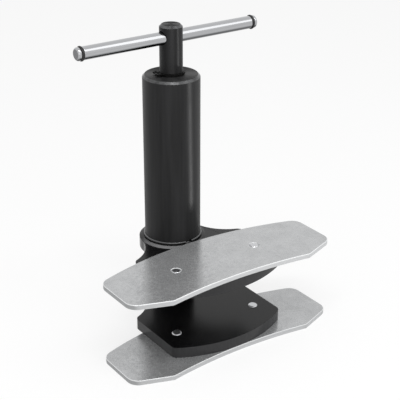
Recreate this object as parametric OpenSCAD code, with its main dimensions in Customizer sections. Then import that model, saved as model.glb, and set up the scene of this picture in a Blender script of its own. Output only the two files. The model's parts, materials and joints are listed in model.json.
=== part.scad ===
// Brake caliper piston tool: a screw in a closed tube drives two flat jaws apart.
// Each jaw carries a wide pressure plate that pushes the pistons back into the caliper.
// Millimetres, +Z up along the spindle. The jaws reach towards -Y and the plates lie along X.
// The origin is under the middle of the whole tool, on the plane that the lower plate stands on.

/* [Housing tube] */
// Outside diameter of the housing tube
tube_d = 45; // [42:0.5:50]
// Length of the housing tube, from the underside of the upper jaw to its closed top
tube_len = 145.7; // [140:0.1:160]
// Wall of the housing tube
tube_wall = 4.5; // [4:0.1:5]
// Thickness of the closed top that the spindle turns in
top_wall = 12; // [9:0.5:15]
// Chamfer round the tube's top edge
tube_chamfer = 1.8; // [0.5:0.1:3]
// How far the flange at the tube's foot stands out under the upper jaw
foot_lip = 2; // [1.5:0.1:2.5]
// Thickness of the flange at the tube's foot
foot_flange_t = 3.4; // [2.5:0.1:4.5]
// Wire of the snap ring that keeps the upper jaw on the tube
snap_wire_d = 2.4; // [1.8:0.1:2.8]
// Angle left open between the ends of the snap ring
snap_gap_angle = 14; // [8:1:30]

/* [Spindle] */
// Diameter of the spindle's head
spindle_d = 18; // [16:0.5:19]
// Height of the spindle's head above the tube
spindle_head = 39; // [34:0.5:45]
// Chamfer round the spindle's top
spindle_chamfer = 1.7; // [0.5:0.1:2.5]
// Depth of the T-bar's axis below the spindle's top
bar_drop = 10; // [9:0.5:14]
// Major diameter of the screw thread
thread_d = 16; // [14:0.5:16]
// Height of the collar that bears on the thrust bearing
collar_t = 6; // [4:0.5:8]
// Play between the circlip and the tube's top while the tool carries its own weight
circlip_play = 0.9; // [0.5:0.1:1.5]
// Thickness of the circlip
circlip_t = 1.3; // [1:0.1:1.5]

/* [T-bar] */
// Diameter of the T-bar
bar_d = 10; // [8:0.5:11]
// Length of the T-bar
bar_len = 161.5; // [130:0.1:200]
// How far the T-bar is pushed through to the right, as it lies
bar_shift = -1.2; // [-5:0.1:5]
// Chamfer at the ends of the T-bar
bar_chamfer = 1; // [0.3:0.1:2]
// Cross-section of the O-rings that stop the T-bar
o_ring_d = 2; // [1.5:0.1:2.4]
// How far an O-ring stands out of the T-bar
o_ring_proud = 0.7; // [0.6:0.05:0.9]
// Distance of an O-ring from the end of the T-bar
o_ring_inset = 4; // [3:0.1:8]

/* [Jaws] */
// Width of a jaw
jaw_w = 103.4; // [98:0.1:112]
// Reach of a jaw's front edge from the spindle's axis
jaw_reach = 91.8; // [86:0.1:91.8]
// Radius of a jaw's round front
jaw_front_r = 98.8; // [90:0.1:120]
// Thickness of a jaw
jaw_t = 8.8; // [7:0.1:10]
// Gap between the jaws, as the tool stands
jaw_gap = 42.3; // [30:0.1:46]
// Wall of the eye round the tube
eye_wall = 4.8; // [4:0.1:6]
// Height of the low boss round the eye
boss_h = 1; // [0.6:0.1:1.2]
// Slope of the boss, measured inwards
boss_chamfer = 3.1; // [2.4:0.1:3.3]
// Radius of the hollow between the eye and a wing
flank_r = 35.5; // [30:0.5:42]
// Distance of the wings' back edge from the spindle's axis
wing_back = 24.2; // [22:0.1:27]
// Rounding of the wing tips
wing_tip_r = 5.5; // [3:0.1:7]
// Rounding of the jaw's front corners
jaw_corner_r = 6; // [2:0.5:8]

/* [Pressure plates] */
// Length of a plate
plate_len = 189; // [170:0.5:210]
// Thickness of a plate
plate_t = 4.2; // [4:0.1:5]
// Gap between the eye's boss and the middle of a plate's back edge
plate_gap = 0.6; // [0.4:0.1:2]
// How far the back edge curves forward at the ends
plate_back_bow = 16.2; // [8:0.1:24]
// Distance of a plate's front corners from the spindle's axis
plate_front_corner = 86.4; // [80:0.1:90]
// Distance of the two front horns from the spindle's axis
horn_reach = 97.4; // [95:0.1:104]
// Distance of a horn from the middle of the plate
horn_x = 64; // [56:0.5:72]
// Depth of the hollow front edge between the horns
front_hollow = 5.4; // [2:0.1:5.5]
// Rounding of a plate's four corners
plate_corner_r = 10; // [6:0.5:14]

/* [Rivets] */
// Diameter of a rivet
rivet_d = 7.6; // [6:0.1:9]
// Distance of a rivet from the middle of the jaw
rivet_x = 37.4; // [30:0.1:42]
// Distance of the rivets from the spindle's axis
rivet_y = 60.4; // [54:0.1:68]
// How far a rivet's head stands out of the jaw
rivet_proud = 0.8; // [0.7:0.1:1.2]
// Slope round both ends of a rivet
rivet_chamfer = 0.6; // [0.2:0.1:0.6]

/* [Ram and nut] */
// Running gap between the ram and the tube
ram_gap = 0.5; // [0.4:0.05:0.8]
// Wall of the ram round the nut
ram_cup_wall = 5; // [4.5:0.1:5]
// Length of the nut below its flange
nut_len = 25; // [18:0.5:28]
// Thickness of the nut's flange
nut_flange_t = 3; // [2:0.5:4]
// How far the jaws can open from where they stand
open_travel = 23; // [10:0.5:26]
// Width of the shoulder between the ram and its spigot in the lower jaw
spigot_step = 4.5; // [4:0.1:6]
// Width of the key that keeps the ram from turning
key_w = 6; // [4:0.5:8]
// Length of the key
key_len = 22; // [14:0.5:24]
// Diameter of the washer under the lower jaw
end_washer_d = 40; // [34:0.5:46]
// Length of the guide bush at the tube's foot
bush_len = 12; // [8:0.5:14]
// Wall of the guide bush
bush_wall = 1.75; // [1.5:0.05:2]
// Length of the wiper below the guide bush
wiper_len = 4; // [3:0.5:5]

/* [Thrust bearing] */
// Height of the thrust bearing
bearing_h = 10; // [9:0.5:12]
// Diameter of a ball
ball_d = 5; // [4:0.1:5.5]
// Number of balls
ball_count = 12; // [8:1:12]

/* [Hidden] */
$fn = 96;

// Clearances
// Radial play of a shaft that turns or slides in its hole
run_fit = 0.05;
// Radial play between pieces that are fixed together
seat_fit = 0.03;
// Radial play of the T-bar in the spindle's cross hole
bar_fit = 0.3;
// Play of the key in its keyway
key_play = 0.1;
// Space left where two moving pieces stop
stop_gap = 0.4;
// Space left round pieces that only pass each other
pass_gap = 0.5;
// How far flush ends lie below the face around them
flush = 0.1;
// Overshoot of a cutter past the face that it cuts
cut = 1;

// Pieces that follow the tube
tube_r = tube_d / 2;
tube_bore_r = tube_r - tube_wall;
eye_r = tube_r + eye_wall;
ram_r = tube_bore_r - ram_gap;
cup_r = ram_r - ram_cup_wall;
bush_r = ram_r + run_fit + bush_wall;
foot_flange_r = tube_r + foot_lip;

// Places along the spindle, with the lower plate's underside at zero
lower_jaw_top = plate_t + jaw_t;
upper_jaw_z = lower_jaw_top + jaw_gap;
upper_jaw_top = upper_jaw_z + jaw_t;
tube_top = upper_jaw_z + tube_len;
spindle_top = tube_top + spindle_head;
bar_z = spindle_top - bar_drop;
bearing_top = tube_top - top_wall;
bearing_z = bearing_top - bearing_h;
collar_z = bearing_z - collar_t;

// Travel of the jaws: closed, the rivets' heads nearly meet
close_travel = jaw_gap - 2 * rivet_proud - stop_gap;
// Space left above the nut and below the screw when the jaws are closed
end_space = 2;
ram_top = collar_z - end_space - close_travel - nut_flange_t;
nut_z = ram_top - nut_len;
nut_flange_step = 1.5;

// Spindle below its collar
stop_washer_t = 2;
stop_clip_t = 1;
stop_journal_r = 5;
stop_groove_r = 4;
stop_tail = 2;
stop_washer_top = nut_z - open_travel - stop_gap;
stop_clip_top = stop_washer_top - stop_washer_t;
spindle_z = stop_clip_top - stop_clip_t - stop_tail;
thread_r = thread_d / 2;
screw_space = 2.5;
ram_bore_r = thread_r + screw_space;
stop_washer_r = ram_bore_r - stop_gap;
ram_floor = spindle_z - close_travel - end_space;

// Spindle's head
spindle_r = spindle_d / 2;
cross_hole_r = bar_d / 2 + bar_fit;
// The T-bar lies on the bottom of its hole
cross_hole_z = bar_z + bar_fit - run_fit;
mouth_chamfer = 0.9;
circlip_z = tube_top + circlip_play;
circlip_groove_depth = 0.6;
circlip_groove_r = spindle_r - circlip_groove_depth;

// T-bar
bar_r = bar_d / 2;
// Distance of an O-ring from the middle of the T-bar
o_ring_x = bar_len / 2 - o_ring_inset;
// Radius of the middle of an O-ring's section
o_ring_r = bar_r + o_ring_proud - o_ring_d / 2;
o_ring_groove_w = o_ring_d + 0.2;

// Thrust bearing
seat_step = 1;
seat_r = spindle_r + seat_step;
bearing_r = tube_bore_r - seat_fit;
collar_step = 5;
collar_r = seat_r + collar_step;
ball_r = ball_d / 2;
ball_ring_r = (seat_r + bearing_r) / 2;
ball_groove = 0.5;
ball_z = bearing_z + bearing_h / 2;
race_t = bearing_h / 2 - ball_r + ball_groove;
race_lip = 1;
cage_t = 2;
cage_lip = 0.6;
cage_r = ball_ring_r - ball_r - cage_lip;
cage_wall = 2 * (ball_r + cage_lip);
pocket_fit = 0.15;

// Foot of the tube
wiper_recess = 0.3;
wiper_z = upper_jaw_z + wiper_recess;
bush_z = upper_jaw_z + wiper_len;
bush_top = bush_z + bush_len;
snap_z = upper_jaw_top + boss_h + snap_wire_d / 2 + seat_fit;

// Key in the ram and keyway in the tube
key_depth = 2.5;
key_foot_r = ram_r - key_depth;
key_reach = 1.7;
key_top_r = tube_bore_r + key_reach;
keyway_r = key_top_r + pass_gap;
keyway_z = bush_top - pass_gap;
key_inset = 4;
key_z = ram_top - key_inset - key_len / 2;
key_screw_d = 3;
key_screw_head_d = 5.4;
key_screw_top_r = key_top_r - 2 * flush;
grub_d = 4;
grub_z = ram_top - nut_len / 2;
grub_depth = 1.5;
grub_foot_r = cup_r - grub_depth;

// Foot of the ram
spigot_r = ram_r - spigot_step;
end_washer_t = plate_t - boss_h - 2 * flush;
end_washer_z = plate_t - boss_h - end_washer_t;
spigot_recess = 0.3;
spigot_z = plate_t - boss_h + spigot_recess;
end_screw_d = 8;
end_screw_head_d = 14;
end_screw_len = 18;
end_screw_key = 5;
dowel_d = 3;
dowel_r = (spigot_r + ram_r) / 2;
dowel_len = 9;

// Outlines of the jaws and plates, seen from above with the spindle's axis at the origin
jaw_half = jaw_w / 2;
// How far a flank's circle cuts into the eye, so that the two outlines cross
flank_bite = 0.3;
flank_y = flank_r - wing_back;
flank_x = sqrt((eye_r + flank_r - flank_bite) ^ 2 - flank_y ^ 2);
flank_c = [flank_x, flank_y];
jaw_front_c = [0, jaw_front_r - jaw_reach];
plate_half = plate_len / 2;
plate_back = eye_r + plate_gap;
plate_back_r = arc_radius(plate_half, plate_back_bow);
plate_back_c = [0, -plate_back - plate_back_r];
plate_front_r = arc_radius(horn_x, front_hollow);
plate_front_c = [0, -horn_reach + front_hollow - plate_front_r];
end_slope = (horn_reach - plate_front_corner) / (plate_half - horn_x);

// The origin lies midway between the horns and the back of the eyes
axis_y = (horn_reach - eye_r) / 2;

// Colours
black_oxide = [0.17, 0.17, 0.18];
bright_steel = [0.80, 0.81, 0.82];
zinc = [0.74, 0.75, 0.76];
bronze = [0.72, 0.53, 0.30];
rubber = [0.06, 0.06, 0.06];

// Radius of an arc over a chord, from half the chord and the arc's rise
function arc_radius(half_chord, rise) = (half_chord ^ 2 + rise ^ 2) / (2 * rise);

// Puts what is drawn about the spindle's axis in its place
module on_axis(z = 0) {
    translate([0, axis_y, z]) children();
}

// Draws its children on both sides of the tool's middle plane
module both_sides() {
    children();
    mirror([1, 0, 0]) children();
}

// A ring about the axis, from z upwards
module ring(z, h, r_in, r_out) {
    on_axis(z) difference() {
        cylinder(h = h, r = r_out);
        translate([0, 0, -cut]) cylinder(h = h + 2 * cut, r = r_in);
    }
}

// The sharp corner outside a round: c is the round's centre, from and to are its tangent points
module corner_cut(c, r, from, corner, to) {
    beyond = corner + (corner - c) / 2;
    difference() {
        polygon([c, from, beyond, to]);
        translate(c) circle(r);
    }
}

// Outline of a jaw: the eye, hollow flanks that flare out to the wings, and a round front
module jaw_outline() {
    neck_y = flank_y * eye_r / (eye_r + flank_r);
    tip_x = jaw_half - wing_tip_r;
    tip_y = flank_y - sqrt((flank_r + wing_tip_r) ^ 2 - (flank_x - tip_x) ^ 2);
    tip_c = [tip_x, tip_y];
    front_x = jaw_half - jaw_corner_r;
    front_c = [front_x, jaw_front_c.y - sqrt((jaw_front_r - jaw_corner_r) ^ 2 - front_x ^ 2)];
    circle(eye_r);
    difference() {
        intersection() {
            translate(jaw_front_c) circle(jaw_front_r, $fn = 180);
            translate([-jaw_half, -jaw_reach]) square([jaw_w, jaw_reach + neck_y]);
        }
        both_sides() {
            translate(flank_c) circle(flank_r);
            corner_cut(
                tip_c, wing_tip_r,
                flank_c + (tip_c - flank_c) * flank_r / (flank_r + wing_tip_r),
                [jaw_half, flank_y - sqrt(flank_r ^ 2 - (flank_x - jaw_half) ^ 2)],
                [jaw_half, tip_y]
            );
            corner_cut(
                front_c, jaw_corner_r,
                jaw_front_c + (front_c - jaw_front_c) * jaw_front_r / (jaw_front_r - jaw_corner_r),
                [jaw_half, jaw_front_c.y - sqrt(jaw_front_r ^ 2 - jaw_half ^ 2)],
                [jaw_half, front_c.y]
            );
        }
    }
}

// Outline of a plate: a bowed back, straight ends, slanted corners and a hollow front between two horns
module plate_outline() {
    r = plate_corner_r;
    corner_x = plate_half - r;
    back_c = [corner_x, plate_back_c.y + sqrt((plate_back_r - r) ^ 2 - corner_x ^ 2)];
    slant = sqrt(1 + end_slope ^ 2);
    slant_normal = [-end_slope, 1] / slant;
    front_c = [corner_x, -horn_reach + r * slant + end_slope * (corner_x - horn_x)];
    past = 5;
    difference() {
        intersection() {
            translate([-plate_half, -horn_reach - past]) square([plate_len, horn_reach + past]);
            translate(plate_back_c) circle(plate_back_r, $fn = 360);
        }
        translate(plate_front_c) circle(plate_front_r, $fn = 720);
        both_sides() {
            polygon([
                [horn_x - past, -horn_reach - past * end_slope],
                [plate_half + past, -plate_front_corner + past * end_slope],
                [plate_half + past, -horn_reach - 2 * past],
                [horn_x - past, -horn_reach - 2 * past]
            ]);
            corner_cut(
                back_c, r,
                plate_back_c + (back_c - plate_back_c) * plate_back_r / (plate_back_r - r),
                [plate_half, -plate_back - plate_back_bow],
                [plate_half, back_c.y]
            );
            corner_cut(
                front_c, r,
                front_c - r * slant_normal,
                [plate_half, -plate_front_corner],
                [plate_half, front_c.y]
            );
        }
    }
}

// Holes for both rivets, through whatever is h thick
module rivet_holes(h) {
    both_sides() translate([rivet_x, -rivet_y, -cut]) cylinder(h = h + 2 * cut, d = rivet_d + 2 * seat_fit);
}

// A jaw with its inner face at z = 0 and its boss on the far side, bored to a radius
module jaw(bore_r) {
    difference() {
        union() {
            linear_extrude(jaw_t) jaw_outline();
            translate([0, 0, jaw_t]) cylinder(h = boss_h, r1 = eye_r, r2 = eye_r - boss_chamfer);
        }
        translate([0, 0, -cut]) cylinder(h = jaw_t + boss_h + 2 * cut, r = bore_r);
        rivet_holes(jaw_t);
    }
}

// A pressure plate, from z = 0 upwards
module plate() {
    difference() {
        linear_extrude(plate_t) plate_outline();
        rivet_holes(plate_t);
    }
}

// A rivet that stands out of the jaw's inner face at z = 0 and ends flush with the plate's outer face
module rivet() {
    end_d = rivet_d - 2 * rivet_chamfer;
    full = rivet_proud + jaw_t + plate_t - flush;
    translate([0, 0, -rivet_proud]) {
        cylinder(h = rivet_chamfer, d1 = end_d, d2 = rivet_d);
        translate([0, 0, rivet_chamfer]) cylinder(h = full - 2 * rivet_chamfer, d = rivet_d);
        translate([0, 0, full - rivet_chamfer]) cylinder(h = rivet_chamfer, d1 = rivet_d, d2 = end_d);
    }
}

// One race of the thrust bearing, with a groove for the balls
module race(z, bore_r, outer_r) {
    difference() {
        ring(z, race_t, bore_r, outer_r);
        on_axis(ball_z) rotate_extrude() translate([ball_ring_r, 0]) circle(ball_r + run_fit);
    }
}

// Flat outline of the key, with round ends
module key_outline(play) {
    w = key_w + 2 * play;
    straight = key_len - key_w;
    translate([-w / 2, -straight / 2]) square([w, straight]);
    for (end = [-1, 1]) translate([0, end * straight / 2]) circle(d = w);
}

// A hole or peg that points backwards from the axis, between two radii
module radial(z, r_from, r_to, d) {
    on_axis(z) translate([0, r_to, 0]) rotate([90, 0, 0]) cylinder(h = r_to - r_from, d = d);
}

// The two grub screws or their holes, to the left and right
module grubs(r_from, r_to, d) {
    both_sides() on_axis(grub_z) translate([r_from, 0, 0])
        rotate([0, 90, 0]) cylinder(h = r_to - r_from, d = d);
}

// Closed tube with a foot flange, a chamfered top and a bored lower end
module housing_tube() {
    color(black_oxide) difference() {
        on_axis() rotate_extrude() polygon([
            [spindle_r + run_fit, tube_top],
            [tube_r - tube_chamfer, tube_top],
            [tube_r, tube_top - tube_chamfer],
            [tube_r, upper_jaw_z + foot_flange_t],
            [foot_flange_r, upper_jaw_z + foot_flange_t],
            [foot_flange_r, upper_jaw_z],
            [bush_r + seat_fit, upper_jaw_z],
            [bush_r + seat_fit, bush_top],
            [tube_bore_r, bush_top],
            [tube_bore_r, bearing_top],
            [spindle_r + run_fit, bearing_top]
        ]);
        on_axis(snap_z) rotate_extrude() translate([tube_r, 0])
            circle(d = snap_wire_d + 2 * seat_fit, $fn = 48);
        translate([-key_w / 2 - key_play, axis_y, keyway_z])
            cube([key_w + 2 * key_play, keyway_r, collar_z - keyway_z]);
    }
}

// Round wire ring that lies in the tube's groove on the upper jaw's boss, open towards the plate
module housing_snap_ring() {
    color(black_oxide) on_axis(snap_z)
        rotate([0, 0, snap_gap_angle / 2 - 90])
            rotate_extrude(angle = 360 - snap_gap_angle)
                translate([tube_r, 0]) circle(d = snap_wire_d, $fn = 48);
}

// Bronze bush that guides the ram at the tube's foot
module guide_bush() {
    color(bronze) ring(bush_z, bush_len, ram_r + run_fit, bush_r);
}

// Rubber wiper below the guide bush
module rod_wiper() {
    color(rubber) ring(wiper_z, bush_z - wiper_z, ram_r + run_fit, bush_r);
}

module upper_jaw() {
    color(black_oxide) on_axis(upper_jaw_z) difference() {
        jaw(tube_r + seat_fit);
        translate([0, 0, -cut]) cylinder(h = foot_flange_t + cut + seat_fit, r = foot_flange_r + seat_fit);
    }
}

module upper_plate() {
    color(zinc) on_axis(upper_jaw_top) plate();
}

module upper_rivets() {
    color(bright_steel) on_axis(upper_jaw_z) both_sides() translate([rivet_x, -rivet_y, 0]) rivet();
}

// Bearing race that stays with the tube
module thrust_race_upper() {
    color(bright_steel) race(bearing_top - race_t, seat_r + stop_gap, bearing_r);
}

// Cage with a pocket for each ball
module thrust_cage() {
    color(bronze) difference() {
        ring(ball_z - cage_t / 2, cage_t, cage_r, cage_r + cage_wall);
        for (i = [0 : ball_count - 1])
            on_axis(ball_z - cage_t) rotate([0, 0, i * 360 / ball_count])
                translate([ball_ring_r, 0, 0]) cylinder(h = 2 * cage_t, r = ball_r + pocket_fit);
    }
}

module thrust_balls() {
    color(bright_steel) for (i = [0 : ball_count - 1])
        on_axis(ball_z) rotate([0, 0, i * 360 / ball_count]) translate([ball_ring_r, 0, 0])
            sphere(ball_r, $fn = 48);
}

// Bearing race that turns with the spindle, on its collar
module thrust_race_lower() {
    color(bright_steel) race(bearing_z, seat_r + seat_fit, bearing_r - race_lip);
}

// Spindle: drilled head, circlip groove, bearing seat, collar, screw and a journal for its end stop
module spindle() {
    seat_top = bearing_top - stop_gap;
    color(black_oxide) difference() {
        on_axis() rotate_extrude() polygon([
            [0, spindle_top],
            [spindle_r - spindle_chamfer, spindle_top],
            [spindle_r, spindle_top - spindle_chamfer],
            [spindle_r, circlip_z + circlip_t + seat_fit],
            [circlip_groove_r, circlip_z + circlip_t + seat_fit],
            [circlip_groove_r, circlip_z - seat_fit],
            [spindle_r, circlip_z - seat_fit],
            [spindle_r, seat_top],
            [seat_r, seat_top],
            [seat_r, bearing_z],
            [collar_r, bearing_z],
            [collar_r, collar_z],
            [thread_r, collar_z],
            [thread_r, stop_washer_top],
            [stop_journal_r, stop_washer_top],
            [stop_journal_r, stop_clip_top],
            [stop_groove_r, stop_clip_top],
            [stop_groove_r, stop_clip_top - stop_clip_t],
            [stop_journal_r, stop_clip_top - stop_clip_t],
            [stop_journal_r, spindle_z],
            [0, spindle_z]
        ]);
        on_axis(cross_hole_z) rotate([0, 90, 0]) cylinder(h = 2 * spindle_d, r = cross_hole_r, center = true);
        both_sides() on_axis(cross_hole_z) translate([spindle_r - mouth_chamfer, 0, 0])
            rotate([0, 90, 0]) cylinder(
                h = 2 * mouth_chamfer,
                r1 = cross_hole_r - mouth_chamfer / 2,
                r2 = cross_hole_r + mouth_chamfer * 3 / 2
            );
    }
}

// Circlip with its two drilled lugs to the left
module spindle_circlip() {
    inner_r = circlip_groove_r + seat_fit;
    body_r = spindle_r + 1.4;
    body_shift = 0.5;
    lug_r = 2.4;
    lug_x = spindle_r + 2.6;
    lug_y = 2.9;
    lug_hole_d = 1.8;
    lug_root = 2;
    opening = 2;
    turned = -15;
    color(black_oxide) on_axis(circlip_z) rotate(turned) linear_extrude(circlip_t) difference() {
        union() {
            translate([body_shift, 0]) circle(body_r);
            for (side = [-1, 1]) {
                translate([-lug_x, side * lug_y]) circle(lug_r);
                translate([-lug_x, side * lug_y - lug_r]) square([lug_r + lug_root, 2 * lug_r]);
            }
        }
        circle(inner_r);
        translate([-lug_x - 2 * lug_r, -opening / 2]) square([lug_x + 2 * lug_r, opening]);
        for (side = [-1, 1]) translate([-lug_x, side * lug_y]) circle(d = lug_hole_d);
    }
}

// Washer that the nut meets at the end of the screw
module stop_washer() {
    color(bright_steel) ring(stop_clip_top, stop_washer_t, stop_journal_r + seat_fit, stop_washer_r);
}

// Open clip that holds the stop washer
module stop_clip() {
    clip_r = stop_washer_r - screw_space;
    opening = 1.8 * stop_groove_r;
    color(bright_steel) on_axis(stop_clip_top - stop_clip_t + seat_fit / 2)
        linear_extrude(stop_clip_t - seat_fit) difference() {
            circle(clip_r);
            circle(stop_groove_r + seat_fit);
            translate([-opening / 2, -2 * clip_r]) square([opening, 2 * clip_r]);
        }
}

// T-bar with chamfered ends and a groove for each O-ring
module t_bar() {
    end_x = bar_len / 2;
    groove_half = o_ring_groove_w / 2;
    groove_r = o_ring_r - o_ring_d / 2 - seat_fit;
    half_profile = [
        [groove_r, o_ring_x - groove_half],
        [groove_r, o_ring_x + groove_half],
        [bar_r, o_ring_x + groove_half],
        [bar_r, end_x - bar_chamfer],
        [bar_r - bar_chamfer, end_x]
    ];
    last = len(half_profile) - 1;
    profile = concat(
        [[0, -end_x]],
        [for (i = [0 : last]) [half_profile[last - i].x, -half_profile[last - i].y]],
        [[bar_r, groove_half - o_ring_x], [bar_r, o_ring_x - groove_half]],
        half_profile,
        [[0, end_x]]
    );
    color(bright_steel) on_axis(bar_z) translate([bar_shift, 0, 0]) rotate([0, 90, 0])
        rotate_extrude() polygon(profile);
}

module t_bar_o_rings() {
    color(rubber) for (side = [-1, 1])
        on_axis(bar_z) translate([bar_shift + side * o_ring_x, 0, 0]) rotate([0, 90, 0])
            rotate_extrude() translate([o_ring_r, 0]) circle(d = o_ring_d, $fn = 32);
}

// Hollow ram: a cup for the nut, room for the screw, a key slot and a spigot that enters the lower jaw
module ram() {
    color(black_oxide) difference() {
        on_axis() rotate_extrude() polygon([
            [0, ram_floor],
            [ram_bore_r, ram_floor],
            [ram_bore_r, nut_z],
            [cup_r, nut_z],
            [cup_r, ram_top],
            [ram_r, ram_top],
            [ram_r, lower_jaw_top],
            [spigot_r, lower_jaw_top],
            [spigot_r, spigot_z],
            [0, spigot_z]
        ]);
        on_axis(key_z) translate([0, ram_r + cut, 0]) rotate([90, 0, 0])
            linear_extrude(key_depth + cut) key_outline(seat_fit);
        radial(key_z, cup_r - cut, ram_r, key_screw_d + 2 * seat_fit);
        grubs(cup_r - cut, ram_r + cut, grub_d + 2 * seat_fit);
        on_axis(spigot_z - cut) cylinder(h = end_screw_len, d = end_screw_d + 2 * seat_fit);
        on_axis(lower_jaw_top - cut) translate([0, -dowel_r, 0])
            cylinder(h = dowel_len / 2 + cut, d = dowel_d + 2 * seat_fit);
    }
}

// Flanged bronze nut in the ram's cup
module drive_nut() {
    color(bronze) difference() {
        on_axis() rotate_extrude() polygon([
            [thread_r + run_fit, nut_z + seat_fit],
            [cup_r - seat_fit, nut_z + seat_fit],
            [cup_r - seat_fit, ram_top + seat_fit],
            [ram_r - nut_flange_step, ram_top + seat_fit],
            [ram_r - nut_flange_step, ram_top + nut_flange_t],
            [thread_r + run_fit, ram_top + nut_flange_t]
        ]);
        grubs(grub_foot_r - seat_fit, cup_r + cut, grub_d + 2 * seat_fit);
    }
}

// Grub screws that lock the nut in the ram
module nut_grub_screws() {
    color(black_oxide) grubs(grub_foot_r, ram_r - flush, grub_d);
}

// Key that slides in the tube's keyway
module guide_key() {
    color(bright_steel) difference() {
        on_axis(key_z) translate([0, key_top_r, 0]) rotate([90, 0, 0])
            linear_extrude(key_top_r - key_foot_r - seat_fit) key_outline(0);
        key_screw_shape(seat_fit);
        radial(key_z, key_screw_top_r - seat_fit, key_top_r + cut, key_screw_head_d + 2 * seat_fit);
    }
}

// Countersunk screw of the key, grown by the play of its hole
module key_screw_shape(play) {
    on_axis(key_z) translate([0, key_screw_top_r, 0]) rotate([90, 0, 0]) cylinder(
        h = (key_screw_head_d - key_screw_d) / 2,
        d1 = key_screw_head_d + 2 * play,
        d2 = key_screw_d + 2 * play
    );
    radial(key_z, cup_r + flush, key_screw_top_r - flush, key_screw_d + 2 * play);
}

// Countersunk screw that holds the key in the ram
module key_screw() {
    color(black_oxide) key_screw_shape(0);
}

// Dowel that keeps the lower jaw from turning on the ram
module jaw_dowel() {
    color(bright_steel) on_axis(lower_jaw_top - dowel_len / 2 + flush) translate([0, -dowel_r, 0])
        cylinder(h = dowel_len - 2 * flush, d = dowel_d);
}

module lower_jaw() {
    color(black_oxide) on_axis(lower_jaw_top) mirror([0, 0, 1]) difference() {
        jaw(spigot_r + seat_fit);
        translate([0, -dowel_r, -cut]) cylinder(h = dowel_len / 2 + cut, d = dowel_d + 2 * seat_fit);
    }
}

module lower_plate() {
    color(zinc) on_axis() plate();
}

module lower_rivets() {
    color(bright_steel) on_axis(lower_jaw_top) mirror([0, 0, 1])
        both_sides() translate([rivet_x, -rivet_y, 0]) rivet();
}

// Washer that draws the lower jaw against the ram's shoulder
module end_washer() {
    color(bright_steel) on_axis(end_washer_z) difference() {
        cylinder(h = end_washer_t, d = end_washer_d);
        translate([0, 0, -cut]) cylinder(h = end_washer_t + 2 * cut, d = end_screw_d + 2 * seat_fit);
        translate([0, 0, -flush]) cylinder(
            h = (end_screw_head_d - end_screw_d) / 2,
            d1 = end_screw_head_d,
            d2 = end_screw_d
        );
    }
}

// Countersunk socket screw in the ram's foot
module end_screw() {
    head_h = (end_screw_head_d - end_screw_d) / 2 - 2 * flush;
    color(black_oxide) on_axis(end_washer_z + flush) difference() {
        union() {
            cylinder(h = head_h, d1 = end_screw_head_d - 5 * flush, d2 = end_screw_d - flush);
            cylinder(h = end_screw_len, d = end_screw_d);
        }
        translate([0, 0, -cut]) cylinder(h = head_h + cut, d = end_screw_key / cos(30), $fn = 6);
    }
}

housing_tube();
housing_snap_ring();
guide_bush();
rod_wiper();
upper_jaw();
upper_plate();
upper_rivets();
thrust_race_upper();
thrust_cage();
thrust_balls();
thrust_race_lower();
spindle();
spindle_circlip();
stop_washer();
stop_clip();
t_bar();
t_bar_o_rings();
ram();
drive_nut();
nut_grub_screws();
guide_key();
key_screw();
jaw_dowel();
lower_jaw();
lower_plate();
lower_rivets();
end_washer();
end_screw();
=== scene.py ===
"""Brake caliper piston tool: edge work, finishes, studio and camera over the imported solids."""

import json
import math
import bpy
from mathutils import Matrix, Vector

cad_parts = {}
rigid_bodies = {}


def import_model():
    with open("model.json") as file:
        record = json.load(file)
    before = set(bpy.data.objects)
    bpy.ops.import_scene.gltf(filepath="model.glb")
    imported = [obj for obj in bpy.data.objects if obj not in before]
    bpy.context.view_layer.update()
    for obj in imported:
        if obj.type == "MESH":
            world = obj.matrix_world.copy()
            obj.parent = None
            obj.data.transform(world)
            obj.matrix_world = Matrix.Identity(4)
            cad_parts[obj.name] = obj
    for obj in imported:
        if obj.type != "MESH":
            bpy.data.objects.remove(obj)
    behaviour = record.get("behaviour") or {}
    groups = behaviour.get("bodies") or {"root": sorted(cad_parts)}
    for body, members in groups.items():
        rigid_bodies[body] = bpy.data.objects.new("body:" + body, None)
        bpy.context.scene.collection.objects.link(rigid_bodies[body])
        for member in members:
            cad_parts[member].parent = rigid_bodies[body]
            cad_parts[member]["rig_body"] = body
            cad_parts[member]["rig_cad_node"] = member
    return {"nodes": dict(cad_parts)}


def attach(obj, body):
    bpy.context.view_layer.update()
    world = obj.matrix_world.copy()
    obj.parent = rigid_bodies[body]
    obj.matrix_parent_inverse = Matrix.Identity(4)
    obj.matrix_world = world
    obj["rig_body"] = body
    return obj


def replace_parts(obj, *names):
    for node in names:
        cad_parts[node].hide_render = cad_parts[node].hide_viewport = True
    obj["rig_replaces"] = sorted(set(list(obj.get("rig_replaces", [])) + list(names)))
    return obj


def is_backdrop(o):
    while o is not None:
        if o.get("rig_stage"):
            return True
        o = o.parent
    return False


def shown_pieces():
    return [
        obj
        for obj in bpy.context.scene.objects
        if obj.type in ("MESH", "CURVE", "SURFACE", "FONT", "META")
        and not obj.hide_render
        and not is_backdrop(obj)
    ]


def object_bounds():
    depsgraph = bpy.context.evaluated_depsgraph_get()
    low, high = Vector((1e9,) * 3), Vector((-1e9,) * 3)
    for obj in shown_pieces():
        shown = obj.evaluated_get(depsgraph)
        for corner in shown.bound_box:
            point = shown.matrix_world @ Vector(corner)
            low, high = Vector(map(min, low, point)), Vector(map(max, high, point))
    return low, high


bl_info = {
    "name": "Brake caliper piston tool",
    "version": (1, 0, 0),
    "blender": (4, 5, 0),
    "location": "View3D > Sidebar > Piston tool",
    "description": "Works the edges of the packed pieces, gives them their finishes and sets the studio",
    "category": "Object",
}

import bpy
from bpy.props import FloatProperty, FloatVectorProperty, IntProperty, PointerProperty
from mathutils import Matrix, Vector

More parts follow.
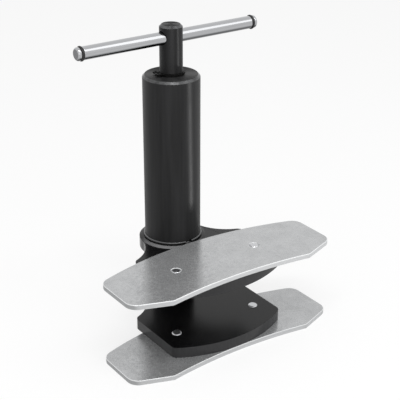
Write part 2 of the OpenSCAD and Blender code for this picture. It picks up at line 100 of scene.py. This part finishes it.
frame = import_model()
CAD_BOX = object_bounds()
MIDDLE = (CAD_BOX[0] + CAD_BOX[1]) / 2

MM = 0.001

# The photograph is square, and the camera was fitted to it
IMAGE_PIXELS = 400
FOCAL_PIXELS = 1050.19
SENSOR_MM = 36
CLIP_NEAR = 0.01
CLIP_FAR = 50

# Closer points are merged, flatter edges are dissolved and sharper ones are rounded
MERGE_DISTANCE = 0.002 * MM
FLAT_ANGLE = math.radians(0.3)
SHARP_ANGLE = math.radians(35)

# How level a face is runs from 0 for a wall to 1 for a top
# Each pair is where the share of a kind of face starts and where it is whole
WALL = (0.3, 0.1)
OFF_WALL = (0.3, 0.55)
OFF_TOP = (0.98, 0.9)
PLATE_EDGE = (0.97, 0.9)

# The jaws' bosses slope at about 18 degrees, and nothing else on a jaw does
BOSS_LEVEL = 0.952
BOSS_TOLERANCE = 0.008
# They get a painted highlight where they look to the front left
BOSS_PAINTED_HIGHLIGHT_SIDE = (-0.58, -0.82, 0.0)
BOSS_PAINTED_HIGHLIGHT_SPAN = (0.1, 0.28)

# The plates' front walls, told from their ends by where they look: the ends are tinted darker as painted
# shade, and the front walls keep a lit tone
PLATE_FRONT = (0.15, -0.99, 0.0)
PLATE_FRONT_WALL = (0.6, 0.95)

# The T-bar's underside, which gets a painted shade, by how far it looks up, and its end faces by how far they
# look along it
BAR_UNDERSIDE = (-0.2, -0.5)
BAR_END = 0.95

# Stretched patterns: 20 times as long up the tool, and 100 times as long along the T-bar
LONG_UPWARDS = (1.0, 1.0, 0.05)
LONG_SIDEWAYS = (0.01, 1.0, 1.0)

# The part of a noise pattern that mottles the zinc, and the part that streaks the turned pieces
MOTTLED = (0.35, 0.65)
STREAKED = (0.4, 0.75)
# How much the zinc's crystals count beside its clouds
CRYSTAL_SHARE = 0.45

# Roughness of the turned pieces' ends and rubbed chamfers, the plates' edges and the T-bar's ends
FACED_ROUGHNESS = 0.53
RUBBED_ROUGHNESS = 0.15
PLATE_EDGE_ROUGHNESS = 0.5
SAWN_ROUGHNESS = 0.4

FLOOR_RADIUS = 6
FLOOR_STEPS = 96
FLOOR_DROP = 0.05 * MM
# How much of what the floor shows is its own glow, and the rest is light on it
FLOOR_GLOW = 0.75

# Which finish each piece has
FINISH = {
    "housing_tube": "oxide_turned",
    "housing_snap_ring": "oxide",
    "spindle": "oxide_turned",
    "spindle_circlip": "phosphate",
    "upper_jaw": "oxide_cut",
    "lower_jaw": "oxide_cut",
    "end_screw": "oxide",
    "key_screw": "oxide",
    "nut_grub_screws": "oxide",
    "upper_plate": "zinc",
    "lower_plate": "zinc",
    "t_bar": "drawn",
    "upper_rivets": "ground",
    "lower_rivets": "ground",
    "ram": "oxide_turned",
    "end_washer": "ground",
    "guide_key": "ground",
    "jaw_dowel": "ground",
    "stop_washer": "ground",
    "stop_clip": "ground",
    "thrust_race_upper": "bearing",
    "thrust_race_lower": "bearing",
    "thrust_balls": "bearing",
    "thrust_cage": "bronze",
    "drive_nut": "bronze",
    "guide_bush": "bronze",
    "rod_wiper": "rubber",
    "t_bar_o_rings": "rubber",
}


def linear(hex_colour):
    """Linear RGBA of an sRGB colour written as six hex digits."""
    channels = [int(hex_colour[i : i + 2], 16) / 255 for i in (0, 2, 4)]
    bent = [c / 12.92 if c <= 0.04045 else ((c + 0.055) / 1.055) ** 2.4 for c in channels]
    return (*bent, 1.0)


def length(name, description, default_mm):
    """A length property with its default in millimetres."""
    return FloatProperty(
        name=name,
        description=description,
        default=default_mm * MM,
        min=0,
        subtype="DISTANCE",
        unit="LENGTH",
    )


def angle(name, description, degrees):
    """An angle property with its default in degrees."""
    return FloatProperty(
        name=name,
        description=description,
        default=math.radians(degrees),
        subtype="ANGLE",
        unit="ROTATION",
    )


def colour(name, description, hex_colour):
    """A colour property with its default as six hex digits."""
    return FloatVectorProperty(
        name=name,
        description=description,
        default=linear(hex_colour),
        size=4,
        min=0,
        max=1,
        subtype="COLOR",
    )


class EdgeSizes(bpy.types.PropertyGroup):
    """How far each kind of piece has its edges rounded"""

    plate: length("Plates", "Rounding of the blanked plates' edges", 1.1)
    jaw: length("Jaws", "Rounding of the cut and ground jaws' edges", 0.6)
    tube: length("Tube", "Rounding of the edges of the tube's chamfers", 1.2)
    turned: length("Turned pieces", "Rounding of the other edges left by the lathe", 0.5)
    small: length("Small pieces", "Rounding of the rivets, circlip and end screw", 0.15)
    segments: IntProperty(
        name="Segments",
        description="Steps across a rounded edge",
        default=3,
        min=1,
        max=6,
    )


class FinishColours(bpy.types.PropertyGroup):
    """Colours of the finishes"""

    oxide: colour("Black oxide", "Blackened steel where its coat is whole", "0a0a0b")
    oxide_worn: colour("Black oxide, worn", "Blackened steel where it has rubbed paler", "151516")
    oxide_streak: colour("Black oxide, streaks", "Faint streaks along the tube, spindle and ram", "222223")
    oxide_cut: colour("Black oxide, cut walls", "Blackened cut walls of the jaws", "3a3a3b")
    # Painted highlight: the bosses are tinted paler only on their front left, where the light catches them
    oxide_boss_painted_highlight: colour("Black oxide, bosses", "Jaws' bosses, rubbed paler at the front left", "808081")
    phosphate: colour("Phosphate", "Phosphated spring steel of the circlip", "060606")
    zinc: colour("Zinc", "Zinc plating of the pressure plates", "bebfc0")
    zinc_dull: colour("Zinc, dull", "Darker crystals of the zinc plating", "aeafb0")
    # Painted shade on the plates' end walls, and a painted lit tone on their front walls, the same as the
    # rolled faces
    zinc_walls_painted_shade: colour("Zinc, cut walls", "Sheared walls of the plates", "9c9d9e")
    zinc_front_painted_light: colour("Zinc, front walls", "Front walls of the plates, burnished by the punch", "bebfc0")
    # Pale edges: partly handling wear, partly a painted highlight where the rounded edges catch the light
    zinc_edge_wear_and_highlight: colour("Zinc, edges", "Edges of the plates, rubbed bright", "dedfe0")
    steel: colour("Bright steel", "Drawn and polished steel of the T-bar", "bcbdbf")
    steel_dull: colour("Bright steel, dull", "Drawing lines along the T-bar", "a6a7a9")
    # Painted shade: the T-bar's underside is tinted dark where it looks down
    steel_underside_painted_shade: colour("Bright steel, underside", "Underside of the T-bar, dulled by oil", "545557")
    steel_sawn: colour("Sawn steel", "End faces of the T-bar", "7c7d7f")
    bare: colour("Bare steel", "Ground steel of the rivets, washers and key", "c6c7c9")
    bearing: colour("Bearing steel", "Polished steel of the races and balls", "d0d1d4")
    rubber: colour("Rubber", "Nitrile rubber of the O-rings and the wiper", "121212")
    bronze: colour("Bronze", "Bearing bronze of the nut, bush and cage", "b98d56")


class StudioSettings(bpy.types.PropertyGroup):
    """Camera and light"""

    camera_place: FloatVectorProperty(
        name="Camera",
        description="Place of the camera",
        default=(-0.42805, -0.60836, 0.44684),
        subtype="TRANSLATION",
        unit="LENGTH",
    )
    camera_turn: angle("Azimuth", "Turn of the camera about the vertical", -35.286)
    camera_pitch: angle("Pitch", "How far the camera looks down", 24.512)
    camera_roll: angle("Roll", "Roll of the camera about its own axis", 0.1355)
    ambient: FloatProperty(
        name="Ambient light",
        description="Light from all round",
        default=0.65,
        min=0,
        max=1,
    )
    floor: colour("Floor", "Pale floor", "ffffff")


class PistonTool(bpy.types.PropertyGroup):
    """Everything that a user would change"""

    edges: PointerProperty(type=EdgeSizes)
    colours: PointerProperty(type=FinishColours)
    studio: PointerProperty(type=StudioSettings)


def add(tree, kind, inputs=None, **settings):
    """Add a node, set its settings, and fill its inputs from values or from other nodes' sockets."""
    node = tree.nodes.new(kind)
    for key, value in settings.items():
        setattr(node, key, value)
    for key, value in (inputs or {}).items():
        if isinstance(value, bpy.types.NodeSocket):
            tree.links.new(value, node.inputs[key])
        else:
            node.inputs[key].default_value = value
    return node


def start_material(name):
    """An empty node material: the material, its tree and its texture coordinates."""
    material = bpy.data.materials.new(name)
    material.use_nodes = True
    tree = material.node_tree
    tree.nodes.clear()
    return material, tree, add(tree, "ShaderNodeTexCoord").outputs


def surface(tree, inputs):
    """Give a material its surface."""
    shader = add(tree, "ShaderNodeBsdfPrincipled", inputs)
    add(tree, "ShaderNodeOutputMaterial", {"Surface": shader.outputs[0]})


def noise(tree, place, size_mm, detail=2.0, roughness=0.5):
    """A noise pattern whose features are this many millimetres across."""
    inputs = {"Vector": place, "Scale": 1 / (size_mm * MM), "Detail": detail, "Roughness": roughness}
    return add(tree, "ShaderNodeTexNoise", inputs).outputs["Fac"]


def stretched(tree, place, scale):
    """Coordinates for a pattern that is long in the direction with the small scale."""
    return add(tree, "ShaderNodeMapping", {"Vector": place, "Scale": scale}).outputs[0]


def ramp(tree, value, start, end, low=0.0, high=1.0):
    """A value that goes from low to high while the given one goes from start to end."""
    inputs = {"Value": value, "From Min": start, "From Max": end, "To Min": low, "To Max": high}
    return add(tree, "ShaderNodeMapRange", inputs).outputs["Result"]


def spread(tree, pattern, low, high):
    """A pattern that ran from 0 to 1, made to run from low to high."""
    return ramp(tree, pattern, 0.0, 1.0, low, high)


def maths(tree, operation, *values):
    """The result of an operation on values or sockets."""
    return add(tree, "ShaderNodeMath", dict(enumerate(values)), operation=operation).outputs[0]


def blend_colours(tree, share, first, second):
    """The first colour, with a share of the second in it."""
    return add(tree, "ShaderNodeMix", {"Factor": share, 6: first, 7: second}, data_type="RGBA").outputs[2]


def blend_values(tree, share, first, second):
    """The first value, with a share of the second in it."""
    return add(tree, "ShaderNodeMix", {"Factor": share, 2: first, 3: second}, data_type="FLOAT").outputs[0]


def bumps(tree, pattern, strength, depth_mm):
    """Normals that follow a pattern, as if it were cut this deep."""
    inputs = {"Height": pattern, "Strength": strength, "Distance": depth_mm * MM}
    return add(tree, "ShaderNodeBump", inputs).outputs["Normal"]


def levelness(tree, normal):
    """How level a face is: 0 for a wall and 1 for a top or an underside."""
    lean = add(tree, "ShaderNodeSeparateXYZ", {0: normal})
    return maths(tree, "ABSOLUTE", lean.outputs["Z"])


def looking(tree, normal, direction):
    """How far a face looks in a direction: 1 straight along it and 0 across it."""
    inputs = {0: normal, 1: direction}
    return add(tree, "ShaderNodeVectorMath", inputs, operation="DOT_PRODUCT").outputs["Value"]


def cut_tint(tree, colours, place, level, tint):
    """Tint of a blackened jaw: paler on its cut walls, with a painted highlight on the front left of its
    boss.
    """
    # Upright walls are left as cut, with streaks about 0.7 mm wide that run down them
    cuts = noise(tree, stretched(tree, place, LONG_UPWARDS), size_mm=0.7)
    share = maths(tree, "MULTIPLY", ramp(tree, level, *WALL), spread(tree, cuts, low=0.5, high=1.0))
    walled = blend_colours(tree, share, tint, colours.oxide_cut)
    flat = add(tree, "ShaderNodeNewGeometry").outputs["True Normal"]
    # Painted highlight: the boss slope is tinted paler where it looks to the front left
    boss = maths(tree, "COMPARE", levelness(tree, flat), BOSS_LEVEL, BOSS_TOLERANCE)
    side = ramp(tree, looking(tree, flat, BOSS_PAINTED_HIGHLIGHT_SIDE), *BOSS_PAINTED_HIGHLIGHT_SPAN)
    return blend_colours(tree, maths(tree, "MULTIPLY", boss, side), walled, colours.oxide_boss_painted_highlight)


def streaked_tint(tree, colours, place, tint):
    """Tint of a blackened bar or tube, with what its drawing and handling left along it."""
    # Faint streaks about 5 mm wide and 100 mm long
    drawn = noise(tree, stretched(tree, place, LONG_UPWARDS), size_mm=5, detail=4.0)
    return blend_colours(tree, ramp(tree, drawn, *STREAKED), tint, colours.oxide_streak)


def black_oxide(colours, name, specular, turned=False, cut=False):
    """Black oxide on steel: a thin dark satin coat, clouded by the bath and rubbed through on slopes."""
    material, tree, coords = start_material(name)
    place = coords["Object"]
    # Clouds about 12 mm across, where the bath took unevenly
    clouds = noise(tree, place, size_mm=12, detail=5.0)
    # Grain of about 0.8 mm, coarser than the real one so that it shows
    grain = noise(tree, place, size_mm=0.8)
    # Chamfers and rounded edges are neither level nor upright, and hands rub them down to the steel
    level = levelness(tree, coords["Normal"])
    off_wall = ramp(tree, level, *OFF_WALL)
    slope = maths(tree, "MULTIPLY", off_wall, ramp(tree, level, *OFF_TOP))
    wear = maths(tree, "MULTIPLY", slope, spread(tree, grain, low=0.12, high=0.22))
    tint = blend_colours(tree, clouds, colours.oxide, colours.oxide_worn)
    if cut:
        tint = cut_tint(tree, colours, place, level, tint)
    else:
        tint = blend_colours(tree, wear, tint, colours.bare)
    if turned:
        tint = streaked_tint(tree, colours, place, tint)
        walls = spread(tree, clouds, low=0.46, high=0.56)
        # Faced ends are about as rough as the turned walls, and rubbed chamfers are smooth
        faced = blend_values(tree, off_wall, walls, FACED_ROUGHNESS)
        rough = blend_values(tree, slope, faced, RUBBED_ROUGHNESS)
    else:
        rough = spread(tree, clouds, low=0.18, high=0.28)
    inputs = {
        "Base Color": tint,
        "Metallic": wear,
        "Roughness": rough,
        "Specular IOR Level": specular,
        "Normal": bumps(tree, grain, strength=0.12, depth_mm=0.04),
    }
    if turned:
        # The lathe's rings spread a highlight along the axis and keep it narrow across
        rings = add(tree, "ShaderNodeTangent", direction_type="RADIAL", axis="Z")
        inputs["Tangent"] = rings.outputs["Tangent"]
        inputs["Anisotropic"] = 0.9
        inputs["Anisotropic Rotation"] = 0.25
    surface(tree, inputs)
    return material


def zinc_plate(colours):
    """Zinc-plated sheet: a pale satin metal, part mirror and part matt, mottled by its crystals."""
    material, tree, coords = start_material("zinc_plated_steel")
    place = coords["Object"]
    # Crystals about 3 mm across, with finer ones among them
    crystals = noise(tree, place, size_mm=3, detail=6.0, roughness=0.62)
    # Plating and handling clouds about 14 mm across
    clouds = noise(tree, place, size_mm=14, detail=6.0, roughness=0.6)
    patches = ramp(tree, blend_values(tree, CRYSTAL_SHARE, clouds, crystals), *MOTTLED)
    rolled = blend_colours(tree, patches, colours.zinc, colours.zinc_dull)
    # The rounded edges are tinted bright, partly as handling wear and partly as a painted highlight, and the
    # end walls are tinted darker than the rolled faces as painted shade
    level = levelness(tree, coords["Normal"])
    edge = ramp(tree, level, *PLATE_EDGE)
    edges_worn_and_highlit = blend_colours(tree, edge, rolled, colours.zinc_edge_wear_and_highlight)
    # Painted light: the front walls keep a lit tone, paler than the ends
    front = ramp(tree, looking(tree, coords["Normal"], PLATE_FRONT), *PLATE_FRONT_WALL)
    walls_shade_and_light = blend_colours(tree, front, colours.zinc_walls_painted_shade, colours.zinc_front_painted_light)
    satin = ramp(tree, crystals, *MOTTLED, low=0.17, high=0.34)
    surface(
        tree,
        {
            "Base Color": blend_colours(tree, ramp(tree, level, *WALL), edges_worn_and_highlit, walls_shade_and_light),
            "Metallic": 0.6,
            "Roughness": blend_values(tree, edge, satin, PLATE_EDGE_ROUGHNESS),
            "Normal": bumps(tree, crystals, strength=0.18, depth_mm=0.03),
        },
    )
    return material


def drawn_steel(colours):
    """Cold-drawn and polished bar: bright, with fine lines along X, a painted shade on its underside and sawn
    ends.
    """
    material, tree, coords = start_material("drawn_polished_steel")
    # Lines about 0.5 mm apart and 50 mm long
    lines = noise(tree, stretched(tree, coords["Object"], LONG_SIDEWAYS), size_mm=0.5, detail=3.0)
    facing = add(tree, "ShaderNodeSeparateXYZ", {0: coords["Normal"]}).outputs
    # Painted shade on the underside, darker the further it looks down
    under = ramp(tree, facing["Z"], *BAR_UNDERSIDE)
    sawn = maths(tree, "GREATER_THAN", maths(tree, "ABSOLUTE", facing["X"]), BAR_END)
    bright = blend_colours(tree, lines, colours.steel, colours.steel_dull)
    underside_painted_shade = blend_colours(tree, under, bright, colours.steel_underside_painted_shade)
    gloss = spread(tree, lines, low=0.09, high=0.16)
    surface(
        tree,
        {
            "Base Color": blend_colours(tree, sawn, underside_painted_shade, colours.steel_sawn),
            "Metallic": 1.0,
            "Roughness": blend_values(tree, sawn, gloss, SAWN_ROUGHNESS),
        },
    )
    return material


def machined_metal(name, tint, mark_mm, rough_from, rough_to):
    """Bare machined metal: a plain tint whose gloss and surface follow cutter marks of a given size."""
    material, tree, coords = start_material(name)
    marks = noise(tree, coords["Object"], mark_mm, detail=4.0)
    surface(
        tree,
        {
            "Base Color": tint,
            "Metallic": 1.0,
            "Roughness": spread(tree, marks, rough_from, rough_to),
            "Normal": bumps(tree, marks, strength=0.08, depth_mm=0.03),
        },
    )
    return material


def nitrile_rubber(colours):
    """Moulded nitrile rubber: matt black with the texture of its mould."""
    material, tree, coords = start_material("nitrile_rubber")
    # Mould texture of about 0.4 mm
    skin = noise(tree, coords["Object"], size_mm=0.4)
    surface(
        tree,
        {
            "Base Color": colours.rubber,
            "Roughness": spread(tree, skin, low=0.45, high=0.65),
            "Normal": bumps(tree, skin, strength=0.1, depth_mm=0.03),
        },
    )
    return material


def phosphated_steel(colours):
    """Phosphated spring steel: a dull, oiled black that hardly shines."""
    material, tree, coords = start_material("phosphated_spring_steel")
    # Crystals of the coat, drawn at about 0.3 mm so that they show
    coat = noise(tree, coords["Object"], size_mm=0.3)
    surface(
        tree,
        {
            "Base Color": colours.phosphate,
            "Roughness": spread(tree, coat, low=0.45, high=0.6),
            "Specular IOR Level": 0.15,
        },
    )
    return material


def shown_ray(tree):
    """A socket that is 1 for rays that show a background: to the camera, mirrored or through glass."""
    path = add(tree, "ShaderNodeLightPath").outputs
    seen = maths(tree, "MAXIMUM", path["Is Camera Ray"], path["Is Glossy Ray"])
    return maths(tree, "MAXIMUM", seen, path["Is Transmission Ray"])


def take_only(piece):
    """Select one object and nothing else."""
    bpy.ops.object.select_all(action="DESELECT")
    piece.select_set(True)
    bpy.context.view_layer.objects.active = piece


def work_edges(node, width, segments):
    """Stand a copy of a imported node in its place, with its triangles merged and its sharp edges rounded."""
    source = frame["nodes"][node]
    piece = bpy.data.objects.new(node + "_worked", source.data.copy())
    bpy.context.scene.collection.objects.link(piece)
    take_only(piece)
    bpy.ops.mesh.customdata_custom_splitnormals_clear()
    bpy.ops.object.mode_set(mode="EDIT")
    bpy.ops.mesh.select_all(action="SELECT")
    bpy.ops.mesh.remove_doubles(threshold=MERGE_DISTANCE)
    bpy.ops.mesh.dissolve_limited(angle_limit=FLAT_ANGLE)
    bpy.ops.object.mode_set(mode="OBJECT")
    bpy.ops.object.shade_smooth_by_angle(angle=SHARP_ANGLE)
    bpy.ops.object.modifier_add(type="BEVEL")
    bevel = piece.modifiers[-1]
    bevel.width = width
    bevel.segments = segments
    bevel.limit_method = "ANGLE"
    bevel.angle_limit = SHARP_ANGLE
    bpy.ops.object.modifier_apply(modifier=bevel.name)
    # In a narrow groove two roundings meet and leave faces with no area
    bpy.ops.object.mode_set(mode="EDIT")
    bpy.ops.mesh.select_all(action="SELECT")
    bpy.ops.mesh.remove_doubles(threshold=MERGE_DISTANCE)
    bpy.ops.mesh.dissolve_degenerate(threshold=MERGE_DISTANCE)
    bpy.ops.object.mode_set(mode="OBJECT")
    bpy.ops.object.modifier_add(type="WEIGHTED_NORMAL")
    bpy.ops.object.modifier_apply(modifier=piece.modifiers[-1].name)
    if not piece.data.polygons:
        raise RuntimeError(f"the edges of {node} left no faces")
    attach(piece, source["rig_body"])
    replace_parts(piece, node)


class PISTON_TOOL_OT_plates(bpy.types.Operator):
    """Round the edges of the two pressure plates"""

    bl_idname = "piston_tool.plates"
    bl_label = "Pressure plates"

    def execute(self, context):
        edges = context.scene.piston_tool.edges
        for node in ("upper_plate", "lower_plate"):
            work_edges(node, edges.plate, edges.segments)
        return {"FINISHED"}


class PISTON_TOOL_OT_jaws(bpy.types.Operator):
    """Round the edges of the two jaws"""

    bl_idname = "piston_tool.jaws"
    bl_label = "Jaws"

    def execute(self, context):
        edges = context.scene.piston_tool.edges
        for node in ("upper_jaw", "lower_jaw"):
            work_edges(node, edges.jaw, edges.segments)
        return {"FINISHED"}


class PISTON_TOOL_OT_turned(bpy.types.Operator):
    """Round the lathe edges of the tube, spindle, T-bar, ram and washer"""

    bl_idname = "piston_tool.turned"
    bl_label = "Turned pieces"

    def execute(self, context):
        edges = context.scene.piston_tool.edges
        work_edges("housing_tube", edges.tube, edges.segments)
        for node in ("spindle", "t_bar", "ram", "end_washer"):
            work_edges(node, edges.turned, edges.segments)
        return {"FINISHED"}


class PISTON_TOOL_OT_small(bpy.types.Operator):
    """Round the edges of the rivets, circlip and end screw"""

    bl_idname = "piston_tool.small"
    bl_label = "Rivets, circlip and screw"

    def execute(self, context):
        edges = context.scene.piston_tool.edges
        for node in ("upper_rivets", "lower_rivets", "spindle_circlip", "end_screw"):
            work_edges(node, edges.small, edges.segments)
        return {"FINISHED"}


def node_of(piece):
    """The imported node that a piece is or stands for."""
    return piece.get("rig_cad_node") or piece["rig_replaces"][0]


class PISTON_TOOL_OT_finishes(bpy.types.Operator):
    """Make the finishes and give every piece its own"""

    bl_idname = "piston_tool.finishes"
    bl_label = "Finishes"

    def execute(self, context):
        colours = context.scene.piston_tool.colours
        made = {
            "oxide": black_oxide(colours, "black_oxide_steel", specular=0.33),
            "oxide_cut": black_oxide(colours, "black_oxide_cut_steel", specular=0.2, cut=True),
            "oxide_turned": black_oxide(colours, "black_oxide_turned_steel", specular=0.27, turned=True),
            "zinc": zinc_plate(colours),
            "drawn": drawn_steel(colours),
            # Grinding marks of about 0.6 mm
            "ground": machined_metal("ground_steel", colours.bare, 0.6, 0.22, 0.38),
            # Lapped faces with marks of about 0.4 mm
            "bearing": machined_metal("lapped_bearing_steel", colours.bearing, 0.4, 0.08, 0.18),
            # Tool marks of about 0.8 mm
            "bronze": machined_metal("machined_bronze", colours.bronze, 0.8, 0.25, 0.4),
            "rubber": nitrile_rubber(colours),
            "phosphate": phosphated_steel(colours),
        }
        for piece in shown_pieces():
            for slot in piece.material_slots:
                slot.material = made[FINISH[node_of(piece)]]
        return {"FINISHED"}


def soft_box(name, offset, width, height, power):
    """A soft rectangular lamp at an offset from the tool's middle, at which it points."""
    place = MIDDLE + Vector(offset)
    bpy.ops.object.light_add(type="AREA", location=place)
    lamp = bpy.context.object
    lamp.name = name
    lamp.data.shape = "RECTANGLE"
    lamp.data.size = width
    lamp.data.size_y = height
    lamp.data.energy = power
    lamp.rotation_euler = (MIDDLE - place).to_track_quat("-Z", "Y").to_euler()
    return lamp


def pieces_of(*nodes):
    """A collection of the pieces of these nodes, for a lamp to light or to be shaded by."""
    pieces = bpy.data.collections.new("_".join(nodes))
    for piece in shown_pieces():
        if node_of(piece) in nodes:
            pieces.objects.link(piece)
    return pieces


class PISTON_TOOL_OT_studio(bpy.types.Operator):
    """Set the floor, the light and the camera"""

    bl_idname = "piston_tool.studio"
    bl_label = "Studio"

    def execute(self, context):
        scene = context.scene
        studio = scene.piston_tool.studio
        bpy.ops.object.select_all(action="DESELECT")
        self.floor(studio)
        self.background(scene, studio)
        self.lamps()
        self.camera(scene, studio)
        scene.view_settings.view_transform = "Standard"
        return {"FINISHED"}

    def floor(self, studio):
        """A wide pale floor that shows white, with the tool's shadow on it."""
        bpy.ops.mesh.primitive_circle_add(
            vertices=FLOOR_STEPS, radius=FLOOR_RADIUS, fill_type="NGON", location=(0, 0, -FLOOR_DROP)
        )
        floor = bpy.context.object
        floor.name = "studio_floor"
        material, tree, _ = start_material("pale_floor")
        matt = add(tree, "ShaderNodeBsdfDiffuse", {"Color": studio.floor})
        glow = add(tree, "ShaderNodeEmission", {"Color": studio.floor, "Strength": 1.0})
        share = maths(tree, "MULTIPLY", shown_ray(tree), FLOOR_GLOW)
        both = add(tree, "ShaderNodeMixShader", {0: share, 1: matt.outputs[0], 2: glow.outputs[0]})
        add(tree, "ShaderNodeOutputMaterial", {"Surface": both.outputs[0]})
        floor.data.materials.append(material)
        # The tool stands on its lower plate, so the floor goes with that as the jaws open
        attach(floor, "carriage")
        floor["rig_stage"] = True

    def background(self, scene, studio):
        """A background that shows white and gives a soft light from all round."""
        world = bpy.data.worlds.new("studio_world")
        scene.world = world
        world.use_nodes = True
        tree = world.node_tree
        tree.nodes.clear()
        level = spread(tree, shown_ray(tree), studio.ambient, 1.0)
        sky = add(tree, "ShaderNodeBackground", {"Color": (1, 1, 1, 1), "Strength": level})
        add(tree, "ShaderNodeOutputWorld", {"Surface": sky.outputs[0]})

    def lamps(self):
        """Boxes and strips to the right, left, top and front."""
        # Low and close, so that the tube and spindle mirror it and the upper plate shades the tube's foot
        strip = soft_box("right_strip", (0.229, -0.194, -0.108), width=0.036, height=0.02, power=0.56)
        strip.light_linking.receiver_collection = pieces_of("housing_tube", "spindle")
        # The floor, which moves with the lower jaw, doesn't shade it
        shades = pieces_of("housing_tube", "spindle", "upper_plate", "upper_jaw")
        strip.light_linking.blocker_collection = shades
        soft_box("right_box", (0.65, -0.65, 0.92), width=0.5, height=0.8, power=1.5)
        soft_box("left_box", (-1.4, -0.5, 0.6), width=1.0, height=1.0, power=0.6)
        soft_box("top_box", (-0.22, -0.385, 1.07), width=0.8, height=0.2, power=4.5)
        soft_box("front_box", (-0.385, -1.058, 0.53), width=0.9, height=1.0, power=2.0)
        # Lower than the upper plate, whose front wall it brightens and whose top it doesn't reach
        edge_strip = soft_box("edge_strip", (0.4, -0.57, -0.088), width=0.5, height=0.05, power=0.8)
        edge_strip.light_linking.receiver_collection = pieces_of("upper_plate")

    def camera(self, scene, studio):
        """The photograph's camera."""
        bpy.ops.object.camera_add()
        camera = bpy.context.object
        camera.name = "photo_camera"
        camera.data.sensor_width = SENSOR_MM
        camera.data.lens = FOCAL_PIXELS / IMAGE_PIXELS * SENSOR_MM
        camera.data.clip_start = CLIP_NEAR
        camera.data.clip_end = CLIP_FAR
        turn = Matrix.Rotation(studio.camera_turn, 4, "Z")
        pitch = Matrix.Rotation(math.pi / 2 - studio.camera_pitch, 4, "X")
        roll = Matrix.Rotation(studio.camera_roll, 4, "Z")
        camera.matrix_world = Matrix.Translation(studio.camera_place) @ turn @ pitch @ roll
        scene.camera = camera


class PISTON_TOOL_PT_panel(bpy.types.Panel):
    """Everything that makes up the piston tool"""

    bl_idname = "PISTON_TOOL_PT_panel"
    bl_label = "Brake caliper piston tool"
    bl_space_type = "VIEW_3D"
    bl_region_type = "UI"
    bl_category = "Piston tool"

    def draw(self, context):
        tool = context.scene.piston_tool
        for group in (tool.edges, tool.colours, tool.studio):
            box = self.layout.box()
            for key in group.__annotations__:
                box.prop(group, key)
        for operator in OPERATORS:
            self.layout.operator(operator.bl_idname)


OPERATORS = (
    PISTON_TOOL_OT_plates,
    PISTON_TOOL_OT_jaws,
    PISTON_TOOL_OT_turned,
    PISTON_TOOL_OT_small,
    PISTON_TOOL_OT_finishes,
    PISTON_TOOL_OT_studio,
)
CLASSES = (EdgeSizes, FinishColours, StudioSettings, PistonTool, *OPERATORS, PISTON_TOOL_PT_panel)


def register():
    for cls in CLASSES:
        bpy.utils.register_class(cls)
    bpy.types.Scene.piston_tool = PointerProperty(type=PistonTool)


def unregister():
    del bpy.types.Scene.piston_tool
    for cls in reversed(CLASSES):
        bpy.utils.unregister_class(cls)


def main():
    register()
    bpy.ops.piston_tool.plates()
    bpy.ops.piston_tool.jaws()
    bpy.ops.piston_tool.turned()
    bpy.ops.piston_tool.small()
    bpy.ops.piston_tool.finishes()
    bpy.ops.piston_tool.studio()


if __name__ == "__main__":
    main()
